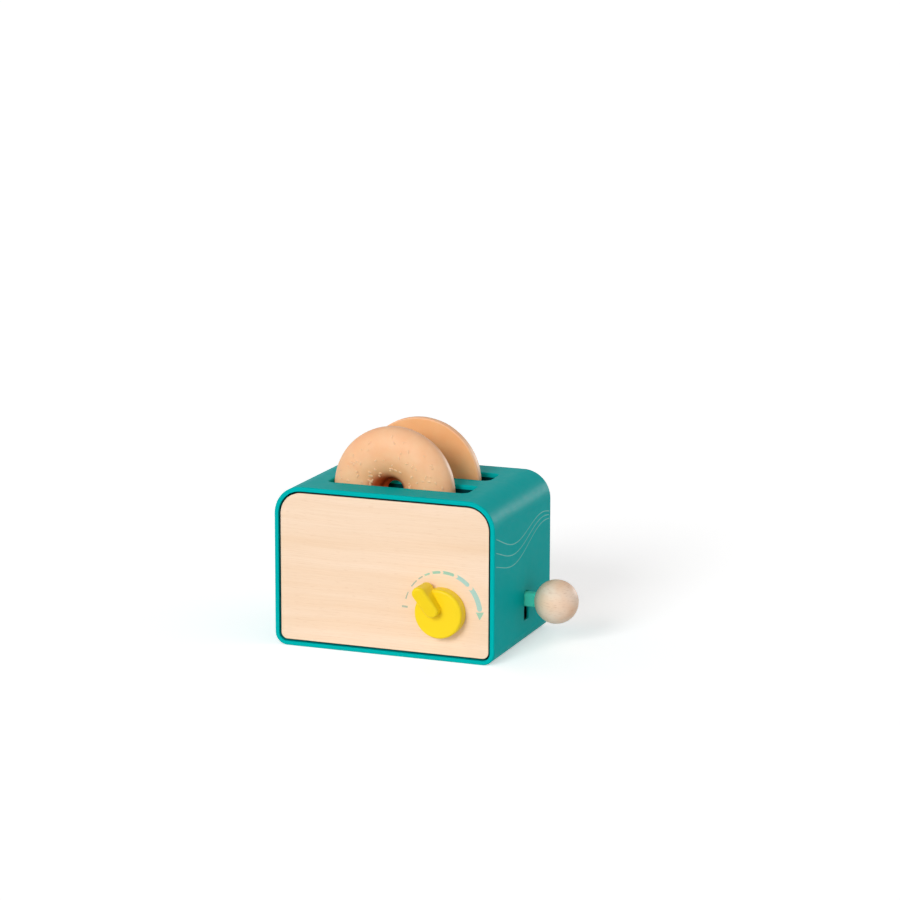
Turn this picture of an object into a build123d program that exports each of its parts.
from build123d import *
from math import cos, radians, sin, sqrt
import os

# Toy toaster with a pop-up lever, a dial knob and two halves of a play bagel. Millimetres.
# X runs to the right seen from the front, Y to the back and Z up.
# The origin is the middle of the flat underside that the toaster stands on.

# ---- Shell: one moulded loop of wall, open at the front and at the back ----
SHELL_WIDTH = 183.4
SHELL_DEPTH = 130.4
SHELL_HEIGHT = 128.0
WALL = 3.4
TOP_CORNER = 22.5
BASE_CORNER = 10.0
RIM_ROUNDING = 1.2
MOUTH_ROUNDING = 1.4
WAY_IN_ROUNDING = 0.7     # round the lever's opening
WAY_IN_WALL = 1.4         # the wall is thinned from inside round that opening
WAY_IN_MARGIN = 4.0       # as far as this past its edges

# ---- Wooden faces and the plastic bulkheads that carry them ----
PANEL_THICK = 5.0
PANEL_RECESS = 1.0
PANEL_GAP = 1.4
PANEL_EDGE = 0.6
BULKHEAD_THICK = 2.5
PEG_RADIUS = 2.5
PEG_LENGTH = 2.5
PEG_SPACING = 120.0

# ---- Bread slots and their chutes ----
SLOT_LENGTH = 116.5
SLOT_WIDTH = 27.0
SLOT_CORNER = 5.0
SLOT_SPACING = 49.0
CHUTE_WALL = 1.6
CHUTE_EASE = 0.6
CHUTE_FLANGE = 2.0
CHUTE_ABOVE_CRADLE = 3.3

# ---- Play bagel, cut in two halves ----
BAGEL_RADIUS = 50.0
BAGEL_HOLE = 9.7          # radius where the dome ends in the hole
BAGEL_HOLE_CUT = 6.0      # radius on the cut face, before its edge is rounded
BAGEL_THICK = 17.0
BAGEL_SIDE = 4.5
BAGEL_EDGE = 1.2
BAGEL_SINK = 5.3          # its centre lies this far under the toaster's top
BAGEL_FRONT_SHIFT = -7.5  # along the slot, from the middle
BAGEL_BACK_SHIFT = -2.5
BAGEL_OFF_WALL = 2.0      # from the domed side to the slot's outer long edge

# ---- Lever ----
LEVER_HEIGHT = 36.3
LEVER_BACK = 8.7          # the stem stands this far behind the middle
LEVER_TRAVEL = 10.5
STEM_WIDE = 8.6
STEM_TALL = 11.4
STEM_CORNER = 2.5
STEM_SHOWS = 8.5
STEM_TONGUE = 12.0
SPIGOT_RADIUS = 4.0
SPIGOT_LENGTH = 14.0
BALL_RADIUS = 17.5
STEM_PIN_RADIUS = 1.25

# ---- Carriage that slides on two rods ----
ROD_RADIUS = 2.0
ROD_INSET = 14.3          # from the end wall's inside to the rods
ROD_SPACING = 40.0
BEAM_THICK = 16.0
BEAM_TALL = 17.0
BEAM_LENGTH = 66.0
SLEEVE_RADIUS = 5.0
SLEEVE_ABOVE = 22.0       # from the stem's middle to the sleeves' tops
UPRIGHT_THICK = 8.5
UPRIGHT_WIDE = 12.0
CRADLE_WIDE = 16.0
CRADLE_THICK = 4.0
CRADLE_REACH = 38.0       # past the middle of the slot
CRADLE_RIB_WIDE = 3.0
CRADLE_RIB_TALL = 6.0
LUG_SPREAD = 40.0
LUG_LONG = 6.0
LUG_TALL = 4.6

# ---- Return springs ----
WIRE = 0.9
SPRING_RADIUS = 3.75
SPRING_TURNS = 11
POCKET_RADIUS = 4.8
POCKET_DEPTH = 10.0
BUMPER_THICK = 2.0
BRIDGE_THICK = 4.0
BRIDGE_SKIN = 1.0         # over the rods' blind sockets

# ---- Chassis inside the loop ----
FLOOR_THICK = 3.0
ROD_BOSS_TALL = 1.0
STOP_WIDE = 2.5           # of the carriage's lower stops
PILLAR_WIDE = 9.5
PILLAR_DEEP = 9.7
POST_WIDE = 10.0
BASE_SCREW_SPACING_X = 100.0
BASE_SCREW_SPACING_Y = 84.0
BASE_BOSS_RADIUS = 4.5
BASE_BOSS_TALL = 8.0

# ---- Dial knob and its click wheel ----
KNOB_FROM_SIDE = 42.9
KNOB_HEIGHT = 39.4
KNOB_RADIUS = 19.4
KNOB_DISC = 10.0
KNOB_EDGE = 2.0
KNOB_STANDOFF = 0.4
KNOB_POINTS_TO = 122.0    # degrees from +X towards +Z
FIN_WIDE = 11.0
FIN_REACH = 26.5
FIN_BACK = 0.5            # how far the fin runs past the axis
FIN_ROOT = 4.0            # where its outer end starts, from the disc's back
FIN_STANDS = 17.5         # at the axis, from the disc's back
FIN_TIP_STANDS = 24.0     # at its outer end
FIN_EDGE = 2.0
SHAFT_RADIUS = 5.0
SHAFT_BOSS_RADIUS = 8.0
SHAFT_BOSS_LONG = 4.0
DRIVE_RADIUS = 3.6
DRIVE_FLAT = 2.4
PANEL_HOLE = 7.0
WHEEL_RADIUS = 9.0
WHEEL_THICK = 4.0
NOTCHES = 24
NOTCH_RADIUS = 0.8
CLICK_STRIP = 0.5
CLICK_WIDE = 3.5
CLICK_LONG = 22.0
CLICK_TIP = 0.7
CLICK_BLOCK = 8.0
CLICK_STAKE = 1.0

# ---- Screws ----
SCREW_RADIUS = 1.5
SCREW_LENGTH = 10.0
SCREW_HEAD = 3.0
SCREW_HEAD_TALL = 1.6
DRIVER_SLOT = 0.8
WASHER_THICK = 0.8

# ---- Clearances ----
RUNNING = 0.08            # round a rod or shaft that slides or turns
SLIP = 0.2                # round a piece set into another
REST = 0.3                # under a piece that only lies on another
BARE = 0.05               # round a screw, and where faces almost meet
MOVING = 1.5              # beside a piece that travels

# ---- Places that follow from the sizes above ----
INNER_HALF = SHELL_WIDTH / 2 - WALL
INNER_TOP = SHELL_HEIGHT - WALL
BAY_HALF = SHELL_DEPTH / 2 - PANEL_RECESS - PANEL_THICK - BULKHEAD_THICK
TOP_FLAT_HALF = SHELL_WIDTH / 2 - TOP_CORNER
FLOOR_HALF = SHELL_WIDTH / 2 - BASE_CORNER - SLIP
FLOOR_TOP = WALL + FLOOR_THICK
BAGEL_Z = SHELL_HEIGHT - BAGEL_SINK
CRADLE_TOP = BAGEL_Z - BAGEL_RADIUS - REST
CHUTE_LOW = CRADLE_TOP + CHUTE_ABOVE_CRADLE
ROD_X = INNER_HALF - ROD_INSET
ROD_YS = {"front": -ROD_SPACING / 2, "back": ROD_SPACING / 2}
BEAM_X0 = ROD_X - BEAM_THICK / 2
BEAM_X1 = ROD_X + BEAM_THICK / 2
BEAM_LOW = LEVER_HEIGHT - BEAM_TALL / 2
SLEEVE_TOP = LEVER_HEIGHT + SLEEVE_ABOVE
BUMPER_LOW = SLEEVE_TOP + BARE
BRIDGE_LOW = BUMPER_LOW + BUMPER_THICK
BRIDGE_X0 = BEAM_X0 + MOVING
POST_Y = BEAM_LENGTH / 2 + MOVING + POST_WIDE / 2
PILLAR_X = TOP_FLAT_HALF - SLIP - PILLAR_WIDE / 2
PILLAR_Y = BAY_HALF - PILLAR_DEEP / 2
PILLAR_TOP = INNER_TOP - CHUTE_FLANGE
SPRING_LOW = FLOOR_TOP + ROD_BOSS_TALL
SPRING_TOP = BEAM_LOW + POCKET_DEPTH
KNOB_X = SHELL_WIDTH / 2 - KNOB_FROM_SIDE
PANEL_FACE = -SHELL_DEPTH / 2 + PANEL_RECESS
KNOB_BACK = PANEL_FACE - KNOB_STANDOFF
WHEEL_FRONT = -BAY_HALF + SHAFT_BOSS_LONG + SLIP
WHEEL_BACK = WHEEL_FRONT + WHEEL_THICK
CLICK_STRIP_TOP = KNOB_HEIGHT - WHEEL_RADIUS - BARE - CLICK_TIP
STEM_END = SHELL_WIDTH / 2 + STEM_SHOWS
BALL_X = STEM_END + sqrt(BALL_RADIUS**2 - (STEM_TALL / 2 + SLIP) ** 2)


# ---- Shared shapes ----

def box(x0, x1, y0, y1, z0, z1):
    """A block between two values on each axis."""
    size = (x1 - x0, y1 - y0, z1 - z0)
    return Pos((x0 + x1) / 2, (y0 + y1) / 2, (z0 + z1) / 2) * Box(*size)


def post(x, y, z0, z1, radius):
    """An upright cylinder between two heights."""
    return Pos(x, y, (z0 + z1) / 2) * Cylinder(radius, z1 - z0)


def along_y(x, z, y0, y1, radius):
    """A cylinder that lies front to back."""
    return Pos(x, (y0 + y1) / 2, z) * Rot(90, 0, 0) * Cylinder(radius, y1 - y0)


def front_to_back(outline, y0, y1):
    """Extrude an outline drawn in X and Z from y0 to y1."""
    return extrude(Plane.XZ.offset(-y1) * outline, y1 - y0)


def loop_outline(inset):
    """The shell's outline seen from the front, moved inwards by inset."""
    outline = Pos(0, SHELL_HEIGHT / 2) * Rectangle(SHELL_WIDTH - 2 * inset, SHELL_HEIGHT - 2 * inset)
    outline = fillet(outline.vertices().group_by(Axis.Y)[-1], TOP_CORNER - inset)
    lowest = outline.vertices().group_by(Axis.Y)[0]
    return fillet(lowest, max(BASE_CORNER - inset, BARE))


def rounded_upright(x, y, length, width, corner, z0, z1):
    """A rounded rectangle in X and Y, extruded between two heights."""
    outline = RectangleRounded(length, width, corner)
    return Pos(x, y, z0) * extrude(outline, z1 - z0)


def corners(half_x, half_y):
    """The four corners of a rectangle round the middle."""
    return [(sx * half_x, sy * half_y) for sx in (-1, 1) for sy in (-1, 1)]


def pan_screw(length):
    """A screw whose head stands on Z = 0 and whose shank hangs below it."""
    head = Pos(0, 0, SCREW_HEAD_TALL / 2) * Cylinder(SCREW_HEAD, SCREW_HEAD_TALL)
    head = fillet(head.faces().sort_by(Axis.Z)[-1].edges(), SCREW_HEAD_TALL / 2)
    shank = Pos(0, 0, -length / 2) * Cylinder(SCREW_RADIUS, length)
    across = Box(SCREW_HEAD, DRIVER_SLOT, SCREW_HEAD_TALL)
    cross = across + Rot(0, 0, 90) * across
    return head + shank - Pos(0, 0, SCREW_HEAD_TALL) * cross


def flat_screw(length):
    """A countersunk screw whose flat top lies on Z = 0."""
    head = Pos(0, 0, -SCREW_HEAD_TALL / 2) * Cone(SCREW_RADIUS, SCREW_HEAD, SCREW_HEAD_TALL)
    shank = Pos(0, 0, -(SCREW_HEAD_TALL + length) / 2) * Cylinder(SCREW_RADIUS, length - SCREW_HEAD_TALL)
    slot = Box(2 * SCREW_HEAD, DRIVER_SLOT, SCREW_HEAD_TALL)
    return head + shank - slot


# ---- Shell ----

def slot_centres():
    """The Y of each bread slot."""
    return {"front": -SLOT_SPACING / 2, "back": SLOT_SPACING / 2}


def lever_opening(x_end, margin):
    """What the stem's travel cuts out of the end wall up to x_end, with a margin all round."""
    high = LEVER_HEIGHT + STEM_TALL / 2 + MOVING / 2 + margin
    low = LEVER_HEIGHT - LEVER_TRAVEL - STEM_TALL / 2 - MOVING / 2 - margin
    width = STEM_WIDE + MOVING + 2 * margin
    outline = RectangleRounded(width, high - low, STEM_CORNER)
    x_start = INNER_HALF - MOVING
    return Pos(x_start, LEVER_BACK, (high + low) / 2) * extrude(Plane.YZ * outline, x_end - x_start)


def base_screw_places():
    return corners(BASE_SCREW_SPACING_X / 2, BASE_SCREW_SPACING_Y / 2)


def shell():
    half = SHELL_DEPTH / 2
    solid = front_to_back(loop_outline(0), -half, half)
    ends = solid.faces().sort_by(Axis.Y)
    solid = fillet(ends[0].edges() + ends[-1].edges(), RIM_ROUNDING)
    solid -= front_to_back(loop_outline(WALL), -half, half)
    below = INNER_TOP - WALL
    above = SHELL_HEIGHT + WALL
    for y in slot_centres().values():
        solid -= rounded_upright(0, y, SLOT_LENGTH, SLOT_WIDTH, SLOT_CORNER, below, above)
    solid -= lever_opening(SHELL_WIDTH / 2 + MOVING, 0)
    solid -= lever_opening(SHELL_WIDTH / 2 - WAY_IN_WALL, WAY_IN_MARGIN)
    mouths = [wire.edges() for wire in solid.faces().sort_by(Axis.Z)[-1].inner_wires()]
    solid = fillet([edge for edges in mouths for edge in edges], MOUTH_ROUNDING)
    way_in = solid.faces().sort_by(Axis.X)[-1].inner_wires()[0].edges()
    solid = fillet(way_in, WAY_IN_ROUNDING)
    for x, y in base_screw_places():
        solid -= post(x, y, 0, WALL, SCREW_RADIUS + SLIP)
        solid -= post(x, y, 0, SCREW_HEAD_TALL + SLIP, SCREW_HEAD + SLIP)
    return solid


# ---- Wooden faces and bulkheads ----

def peg_places():
    return [(-PEG_SPACING / 2, SHELL_HEIGHT / 2), (PEG_SPACING / 2, SHELL_HEIGHT / 2)]


def wooden_panel(has_knob):
    """A face panel as it stands at the front, its outer face towards -Y."""
    inner_face = PANEL_FACE + PANEL_THICK
    solid = front_to_back(loop_outline(WALL + PANEL_GAP), PANEL_FACE, inner_face)
    solid = fillet(solid.faces().sort_by(Axis.Y)[0].edges(), PANEL_EDGE)
    for x, z in peg_places():
        solid -= along_y(x, z, inner_face - PEG_LENGTH - SLIP, inner_face, PEG_RADIUS + BARE)
    if has_knob:
        solid -= along_y(KNOB_X, KNOB_HEIGHT, PANEL_FACE, inner_face, PANEL_HOLE)
    return solid


def bulkhead_screw_places():
    low = FLOOR_TOP + PILLAR_WIDE
    high = PILLAR_TOP - PILLAR_WIDE - SCREW_LENGTH
    return [(side * PILLAR_X, z) for side in (-1, 1) for z in (low, high)]


def bulkhead_plate():
    """The plate behind a wooden face, as it stands at the front."""
    front = -BAY_HALF - BULKHEAD_THICK
    solid = front_to_back(loop_outline(WALL + SLIP), front, -BAY_HALF)
    for x, z in peg_places():
        solid += along_y(x, z, front - PEG_LENGTH, front, PEG_RADIUS)
    for x, z in bulkhead_screw_places():
        solid -= along_y(x, z, front, -BAY_HALF, SCREW_RADIUS + BARE)
        sink = Cone(SCREW_RADIUS + BARE, SCREW_HEAD + BARE, SCREW_HEAD_TALL)
        solid -= Pos(x, front + SCREW_HEAD_TALL / 2, z) * Rot(90, 0, 0) * sink
    return solid


def front_bulkhead():
    solid = bulkhead_plate()
    boss_end = -BAY_HALF + SHAFT_BOSS_LONG
    solid += along_y(KNOB_X, KNOB_HEIGHT, -BAY_HALF, boss_end, SHAFT_BOSS_RADIUS)
    block_x = click_block_x()
    x0 = block_x - CLICK_BLOCK / 2
    x1 = block_x + CLICK_BLOCK / 2
    block_high = CLICK_STRIP_TOP - CLICK_STRIP
    solid += box(x0, x1, -BAY_HALF, WHEEL_BACK, block_high - CLICK_BLOCK, block_high)
    solid += post(block_x, click_y(), block_high, CLICK_STRIP_TOP + CLICK_STRIP, CLICK_STAKE)
    solid -= along_y(KNOB_X, KNOB_HEIGHT, -BAY_HALF - BULKHEAD_THICK, boss_end, SHAFT_RADIUS + RUNNING)
    return solid


def at_back(piece):
    """The same piece turned half round the middle, to stand at the back."""
    return Rot(0, 0, 180) * piece


def bulkhead_screws():
    """The four screws of one bulkhead, as they stand at the front."""
    front = -BAY_HALF - BULKHEAD_THICK
    places = bulkhead_screw_places()
    return [Pos(x, front, z) * Rot(90, 0, 0) * flat_screw(SCREW_LENGTH) for x, z in places]


# ---- Chutes ----

def chute_screw_places(y_side):
    return [(sx * PILLAR_X, y_side * PILLAR_Y) for sx in (-1, 1)]


def chute(y_slot):
    """A tube under one bread slot, hung on a flange under the shell's top."""
    side = 1 if y_slot > 0 else -1
    clear_x = SLOT_LENGTH + 2 * CHUTE_EASE
    clear_y = SLOT_WIDTH + 2 * CHUTE_EASE
    clear_corner = SLOT_CORNER + CHUTE_EASE
    tube_x = clear_x + 2 * CHUTE_WALL
    tube_y = clear_y + 2 * CHUTE_WALL
    solid = rounded_upright(0, y_slot, tube_x, tube_y, clear_corner + CHUTE_WALL, CHUTE_LOW, INNER_TOP)
    y_inner = side * SLIP
    y_outer = side * (BAY_HALF - SLIP)
    y_low = min(y_inner, y_outer)
    y_high = max(y_inner, y_outer)
    half = TOP_FLAT_HALF - SLIP
    solid += box(-half, half, y_low, y_high, PILLAR_TOP, INNER_TOP)
    solid -= rounded_upright(0, y_slot, clear_x, clear_y, clear_corner, CHUTE_LOW, INNER_TOP)
    for x, y in chute_screw_places(side):
        solid -= post(x, y, PILLAR_TOP, INNER_TOP, SCREW_RADIUS + BARE)
        solid -= Pos(x, y, INNER_TOP - SCREW_HEAD_TALL / 2) * Cone(
            SCREW_RADIUS + BARE, SCREW_HEAD + BARE, SCREW_HEAD_TALL
        )
    return solid


def chute_screws():
    places = chute_screw_places(-1) + chute_screw_places(1)
    return [Pos(x, y, INNER_TOP) * flat_screw(SCREW_LENGTH) for x, y in places]


# ---- Chassis, rods and springs ----

def bridge_screw_places():
    return [(ROD_X, -POST_Y), (ROD_X, POST_Y)]


def pilot_holes():
    """The holes in the chassis that its screws bite into."""
    holes = [post(x, y, PILLAR_TOP - SCREW_LENGTH, PILLAR_TOP, SCREW_RADIUS + BARE)
             for x, y in corners(PILLAR_X, PILLAR_Y)]
    for side in (-1, 1):
        face = side * BAY_HALF
        deep = face - side * SCREW_LENGTH
        for x, z in bulkhead_screw_places():
            holes.append(along_y(x, z, min(face, deep), max(face, deep), SCREW_RADIUS + BARE))
    for x, y in bridge_screw_places():
        holes.append(post(x, y, BRIDGE_LOW - SCREW_LENGTH, BRIDGE_LOW, SCREW_RADIUS + BARE))
    for x, y in base_screw_places():
        holes.append(post(x, y, WALL, SCREW_HEAD_TALL + 2 * SLIP + SCREW_LENGTH, SCREW_RADIUS + BARE))
    return holes


def chassis():
    """Floor plate, four corner pillars, the rods' sockets and the carriage's lower stops."""
    solid = box(-FLOOR_HALF, FLOOR_HALF, -BAY_HALF, BAY_HALF, WALL, FLOOR_TOP)
    for x, y in corners(PILLAR_X, PILLAR_Y):
        solid += box(x - PILLAR_WIDE / 2, x + PILLAR_WIDE / 2, y - PILLAR_DEEP / 2, y + PILLAR_DEEP / 2,
                     FLOOR_TOP, PILLAR_TOP)
    for x, y in bridge_screw_places():
        solid += box(BRIDGE_X0, BEAM_X1, y - POST_WIDE / 2, y + POST_WIDE / 2, FLOOR_TOP, BRIDGE_LOW)
    for x, y in base_screw_places():
        solid += post(x, y, FLOOR_TOP, FLOOR_TOP + BASE_BOSS_TALL, BASE_BOSS_RADIUS)
    stop_top = BEAM_LOW - LEVER_TRAVEL - BARE
    for y in ROD_YS.values():
        solid += post(ROD_X, y, FLOOR_TOP, SPRING_LOW, POCKET_RADIUS)
        solid -= post(ROD_X, y, WALL + BARE, SPRING_LOW, ROD_RADIUS + BARE)
    for side in (-1, 1):
        y_out = side * BEAM_LENGTH / 2
        y_in = y_out - side * STOP_WIDE
        solid += box(BEAM_X0, BEAM_X1, min(y_out, y_in), max(y_out, y_in), FLOOR_TOP, stop_top)
    for hole in pilot_holes():
        solid -= hole
    return solid


def guide_rod(y):
    return post(ROD_X, y, WALL + BARE, BRIDGE_LOW + BRIDGE_THICK - BRIDGE_SKIN, ROD_RADIUS)


def rod_bridge():
    """The bar that holds the rods' upper ends and stops the carriage."""
    y_end = POST_Y + POST_WIDE / 2
    solid = box(BRIDGE_X0, BEAM_X1, -y_end, y_end, BRIDGE_LOW, BRIDGE_LOW + BRIDGE_THICK)
    for y in ROD_YS.values():
        solid -= post(ROD_X, y, BRIDGE_LOW, BRIDGE_LOW + BRIDGE_THICK - BRIDGE_SKIN, ROD_RADIUS + BARE)
    for x, y in bridge_screw_places():
        solid -= post(x, y, BRIDGE_LOW, BRIDGE_LOW + BRIDGE_THICK, SCREW_RADIUS + BARE)
    return solid


def bridge_screws():
    top = BRIDGE_LOW + BRIDGE_THICK
    return [Pos(x, y, top) * pan_screw(SCREW_LENGTH) for x, y in bridge_screw_places()]


def base_screws():
    """Screws through the shell's underside up into the chassis."""
    up = Pos(0, 0, SCREW_HEAD_TALL + SLIP) * Rot(180, 0, 0) * pan_screw(SCREW_LENGTH)
    return [Pos(x, y, 0) * up for x, y in base_screw_places()]


def stop_bumper(y):
    ring = post(ROD_X, y, BUMPER_LOW, BRIDGE_LOW, SLEEVE_RADIUS)
    return ring - post(ROD_X, y, BUMPER_LOW, BRIDGE_LOW, ROD_RADIUS + BARE)


def return_spring(y):
    """A coil of wire round one rod, from the chassis up into the carriage's pocket."""
    rise = SPRING_TOP - SPRING_LOW - WIRE
    path = Helix(rise / SPRING_TURNS, rise, SPRING_RADIUS)
    start = Plane(origin=path @ 0, z_dir=path % 0)
    coil = sweep(start * Circle(WIRE / 2), path=path)
    return Pos(ROD_X, y, SPRING_LOW + WIRE / 2) * coil


# ---- Carriage ----

def cradle(y_slot, bagel_x):
    """The bar under one slot, with two lugs that follow the bagel's round edge."""
    y0 = y_slot - CRADLE_WIDE / 2
    y1 = y_slot + CRADLE_WIDE / 2
    low = CRADLE_TOP - CRADLE_THICK
    solid = box(-CRADLE_REACH, BEAM_X0, y0, y1, low, CRADLE_TOP)
    rib_y0 = y_slot - CRADLE_RIB_WIDE / 2
    rib_y1 = y_slot + CRADLE_RIB_WIDE / 2
    solid += box(-CRADLE_REACH, BEAM_X0, rib_y0, rib_y1, low - CRADLE_RIB_TALL, low)
    for side in (-1, 1):
        x = bagel_x + side * LUG_SPREAD / 2
        solid += box(x - LUG_LONG / 2, x + LUG_LONG / 2, y0, y1, CRADLE_TOP, CRADLE_TOP + LUG_TALL)
    return solid - along_y(bagel_x, BAGEL_Z, y0, y1, BAGEL_RADIUS + REST)


def carriage():
    half = BEAM_LENGTH / 2
    solid = box(BEAM_X0, BEAM_X1, -half, half, BEAM_LOW, BEAM_LOW + BEAM_TALL)
    shifts = {"front": BAGEL_FRONT_SHIFT, "back": BAGEL_BACK_SHIFT}
    for place, y in slot_centres().items():
        solid += cradle(y, shifts[place])
        solid += box(BEAM_X0 - UPRIGHT_THICK, BEAM_X0 + BARE, y - UPRIGHT_WIDE / 2, y + UPRIGHT_WIDE / 2,
                     BEAM_LOW, CRADLE_TOP)
    for y in ROD_YS.values():
        solid += post(ROD_X, y, BEAM_LOW + BEAM_TALL, SLEEVE_TOP, SLEEVE_RADIUS)
        solid -= post(ROD_X, y, BEAM_LOW, SLEEVE_TOP, ROD_RADIUS + RUNNING)
        solid -= post(ROD_X, y, BEAM_LOW, SPRING_TOP, POCKET_RADIUS)
    solid -= stem_bar(BEAM_X1 - STEM_TONGUE, BEAM_X1, BARE)
    solid -= post(stem_pin_x(), LEVER_BACK, BEAM_LOW, BEAM_LOW + BEAM_TALL, STEM_PIN_RADIUS + BARE)
    return solid


def stem_bar(x0, x1, ease):
    """The stem's rounded bar between two places along X, made larger by ease all round."""
    outline = RectangleRounded(STEM_WIDE + 2 * ease, STEM_TALL + 2 * ease, STEM_CORNER)
    return Pos(x0, LEVER_BACK, LEVER_HEIGHT) * extrude(Plane.YZ * outline, x1 - x0)


def stem_pin_x():
    return BEAM_X1 - STEM_TONGUE / 2


def spigot(radius, length):
    """The stem's round end in the ball."""
    return Pos(STEM_END + length / 2, LEVER_BACK, LEVER_HEIGHT) * Rot(0, 90, 0) * Cylinder(radius, length)


def lever_stem():
    solid = stem_bar(BEAM_X1 - STEM_TONGUE, STEM_END, 0) + spigot(SPIGOT_RADIUS, SPIGOT_LENGTH)
    return solid - post(stem_pin_x(), LEVER_BACK, BEAM_LOW, BEAM_LOW + BEAM_TALL, STEM_PIN_RADIUS + BARE)


def stem_pin():
    return post(stem_pin_x(), LEVER_BACK, BEAM_LOW, BEAM_LOW + BEAM_TALL, STEM_PIN_RADIUS)


def lever_ball():
    """A wooden ball with a flat for the stem's shoulder and a blind hole for its spigot."""
    solid = Pos(BALL_X, LEVER_BACK, LEVER_HEIGHT) * Sphere(BALL_RADIUS)
    cut = BALL_RADIUS
    solid -= box(STEM_END - 2 * cut, STEM_END, LEVER_BACK - cut, LEVER_BACK + cut, LEVER_HEIGHT - cut,
                 LEVER_HEIGHT + cut)
    return solid - spigot(SPIGOT_RADIUS + BARE, SPIGOT_LENGTH + SLIP)


# ---- Dial knob ----

def knob_disc():
    solid = along_y(0, 0, -KNOB_DISC, 0, KNOB_RADIUS)
    return fillet(solid.faces().sort_by(Axis.Y)[0].edges(), KNOB_EDGE)


def knob_fin():
    """The grip that points outwards, drawn along +X and standing out towards -Y."""
    profile = Polyline(
        (-FIN_BACK, -FIN_ROOT),
        (FIN_REACH, -FIN_ROOT),
        (FIN_REACH, -FIN_TIP_STANDS),
        (-FIN_BACK, -FIN_STANDS),
        close=True,
    )
    solid = extrude(make_face(profile), FIN_WIDE / 2, both=True)
    ends = [edge for edge in solid.edges() if abs(edge.tangent_at(0).Y) > abs(edge.tangent_at(0).X)]
    solid = fillet(ends, FIN_WIDE / 2 - BARE)
    return fillet(solid.faces().sort_by(Axis.Y)[0].edges(), FIN_EDGE)


def drive_end(y0, y1, ease):
    """The shaft's end with one flat, which turns the click wheel."""
    radius = DRIVE_RADIUS + ease
    solid = along_y(0, 0, y0, y1, radius)
    return solid - box(-radius, radius, y0, y1, DRIVE_FLAT + ease, radius)


def knob():
    shaft_end = WHEEL_FRONT - KNOB_BACK - BARE
    drive_stop = WHEEL_BACK - KNOB_BACK - BARE
    solid = knob_disc() + Rot(0, -KNOB_POINTS_TO, 0) * knob_fin()
    solid += along_y(0, 0, 0, shaft_end, SHAFT_RADIUS)
    solid += drive_end(shaft_end, drive_stop, 0)
    solid -= along_y(0, 0, drive_stop - SCREW_LENGTH, drive_stop, SCREW_RADIUS + BARE)
    return Pos(KNOB_X, KNOB_BACK, KNOB_HEIGHT) * solid


def click_wheel():
    solid = along_y(0, 0, WHEEL_FRONT, WHEEL_BACK, WHEEL_RADIUS)
    solid -= drive_end(WHEEL_FRONT, WHEEL_BACK, BARE)
    for i in range(NOTCHES):
        turn = radians(270 + i * 360 / NOTCHES)
        x = WHEEL_RADIUS * cos(turn)
        z = WHEEL_RADIUS * sin(turn)
        solid -= along_y(x, z, WHEEL_FRONT, WHEEL_BACK, NOTCH_RADIUS)
    return Pos(KNOB_X, 0, KNOB_HEIGHT) * solid


def knob_washer():
    ring = along_y(KNOB_X, KNOB_HEIGHT, WHEEL_BACK, WHEEL_BACK + WASHER_THICK, DRIVE_RADIUS + SCREW_RADIUS)
    return ring - along_y(KNOB_X, KNOB_HEIGHT, WHEEL_BACK, WHEEL_BACK + WASHER_THICK, SCREW_RADIUS + BARE)


def knob_screw():
    face = WHEEL_BACK + WASHER_THICK
    return Pos(KNOB_X, face, KNOB_HEIGHT) * Rot(-90, 0, 0) * pan_screw(SCREW_LENGTH)


def click_block_x():
    return KNOB_X - CLICK_LONG + CLICK_BLOCK / 2


def click_y():
    return (WHEEL_FRONT + WHEEL_BACK) / 2


def click_spring():
    """A strip staked to the bulkhead, whose raised tip rides under the click wheel's notches."""
    y0 = click_y() - CLICK_WIDE / 2
    y1 = click_y() + CLICK_WIDE / 2
    x0 = click_block_x() - CLICK_BLOCK / 2
    low = CLICK_STRIP_TOP - CLICK_STRIP
    solid = box(x0, KNOB_X + CLICK_TIP, y0, y1, low, CLICK_STRIP_TOP)
    tip = along_y(KNOB_X, CLICK_STRIP_TOP, y0, y1, CLICK_TIP)
    solid += tip - box(x0, KNOB_X + CLICK_TIP, y0, y1, low - CLICK_TIP, low)
    return solid - post(click_block_x(), click_y(), low, CLICK_STRIP_TOP, CLICK_STAKE + BARE)


# ---- Play bagel ----

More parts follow.
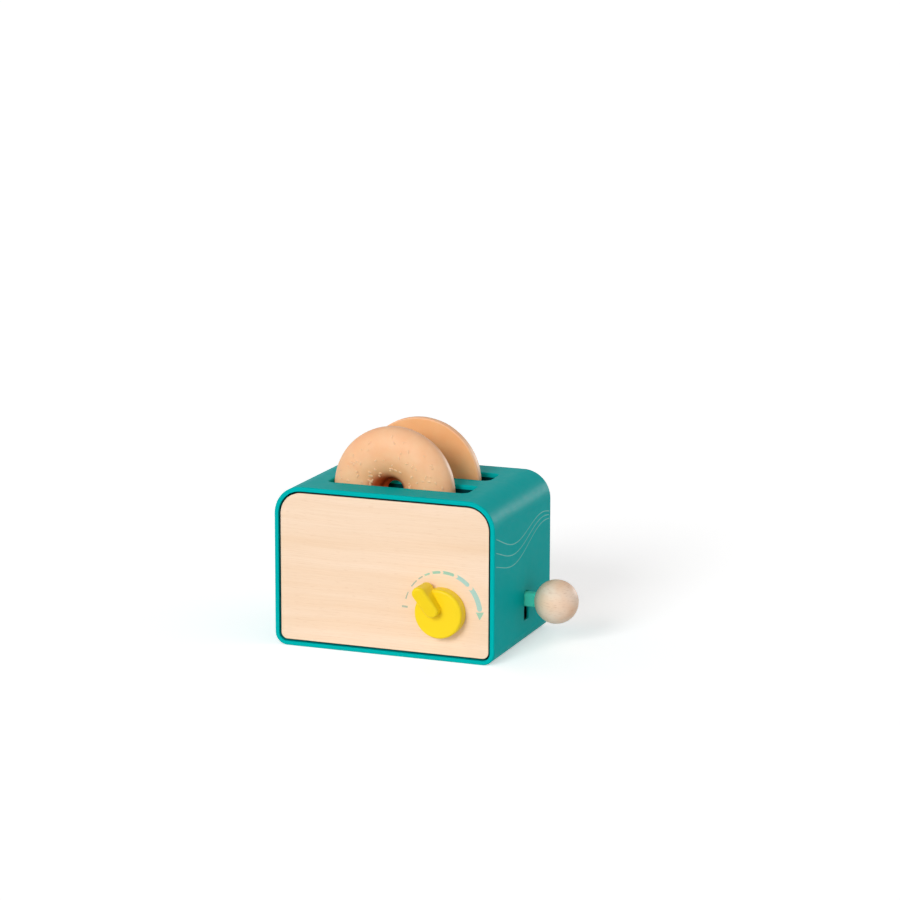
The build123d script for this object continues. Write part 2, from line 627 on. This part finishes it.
def bagel_half():
    """A cut bagel round the Y axis: cut face on Y = 0, domed crust towards -Y."""
    middle = (BAGEL_RADIUS + BAGEL_HOLE) / 2
    half = (BAGEL_RADIUS - BAGEL_HOLE) / 2
    dome = BAGEL_THICK - BAGEL_SIDE
    ring = Pos(middle, -BAGEL_SIDE) * Ellipse(half, dome)
    ring &= Pos(middle, -BAGEL_SIDE - dome / 2) * Rectangle(2 * half, dome)
    side = Polyline(
        (BAGEL_HOLE, -BAGEL_SIDE),
        (BAGEL_RADIUS, -BAGEL_SIDE),
        (BAGEL_RADIUS, 0),
        (BAGEL_HOLE_CUT, 0),
        close=True,
    )
    ring += make_face(side)
    ring = fillet(ring.vertices().group_by(Axis.Y)[-1].sort_by(Axis.X)[-1], BAGEL_EDGE)
    ring = fillet(ring.vertices().group_by(Axis.Y)[-1].sort_by(Axis.X)[0], BAGEL_EDGE / 2)
    return revolve(ring, Axis.Y)


def bagel_front():
    y = slot_centres()["front"] - SLOT_WIDTH / 2 + BAGEL_OFF_WALL + BAGEL_THICK
    return Pos(BAGEL_FRONT_SHIFT, y, BAGEL_Z) * bagel_half()


def bagel_back():
    y = slot_centres()["back"] + SLOT_WIDTH / 2 - BAGEL_OFF_WALL - BAGEL_THICK
    return Pos(BAGEL_BACK_SHIFT, y, BAGEL_Z) * Rot(0, 0, 180) * bagel_half()


# ---- Every node and its solids ----

def nodes():
    slots = slot_centres()
    front_screws = bulkhead_screws()
    pieces = {
        "shell": shell(),
        "chassis": chassis(),
        "front_panel": wooden_panel(True),
        "back_panel": at_back(wooden_panel(False)),
        "front_bulkhead": front_bulkhead(),
        "back_bulkhead": at_back(bulkhead_plate()),
        "front_bulkhead_screws": front_screws,
        "back_bulkhead_screws": [at_back(screw) for screw in front_screws],
        "front_chute": chute(slots["front"]),
        "back_chute": chute(slots["back"]),
        "chute_screws": chute_screws(),
        "base_screws": base_screws(),
        "rod_bridge": rod_bridge(),
        "bridge_screws": bridge_screws(),
        "click_spring": click_spring(),
        "carriage": carriage(),
        "lever_stem": lever_stem(),
        "stem_pin": stem_pin(),
        "lever_ball": lever_ball(),
        "knob": knob(),
        "click_wheel": click_wheel(),
        "knob_washer": knob_washer(),
        "knob_screw": knob_screw(),
        "bagel_front": bagel_front(),
        "bagel_back": bagel_back(),
    }
    for place, y in ROD_YS.items():
        pieces["guide_rod_" + place] = guide_rod(y)
        pieces["stop_bumper_" + place] = stop_bumper(y)
        pieces["return_spring_" + place] = return_spring(y)
    return pieces


def main():
    os.makedirs("parts", exist_ok=True)
    for name, piece in nodes().items():
        solids = piece if isinstance(piece, list) else [piece]
        shape = Compound(children=[solid for item in solids for solid in item.solids()])
        export_step(shape, "parts/" + name + ".step")
        print(name, len(shape.solids()), round(shape.volume))


main()
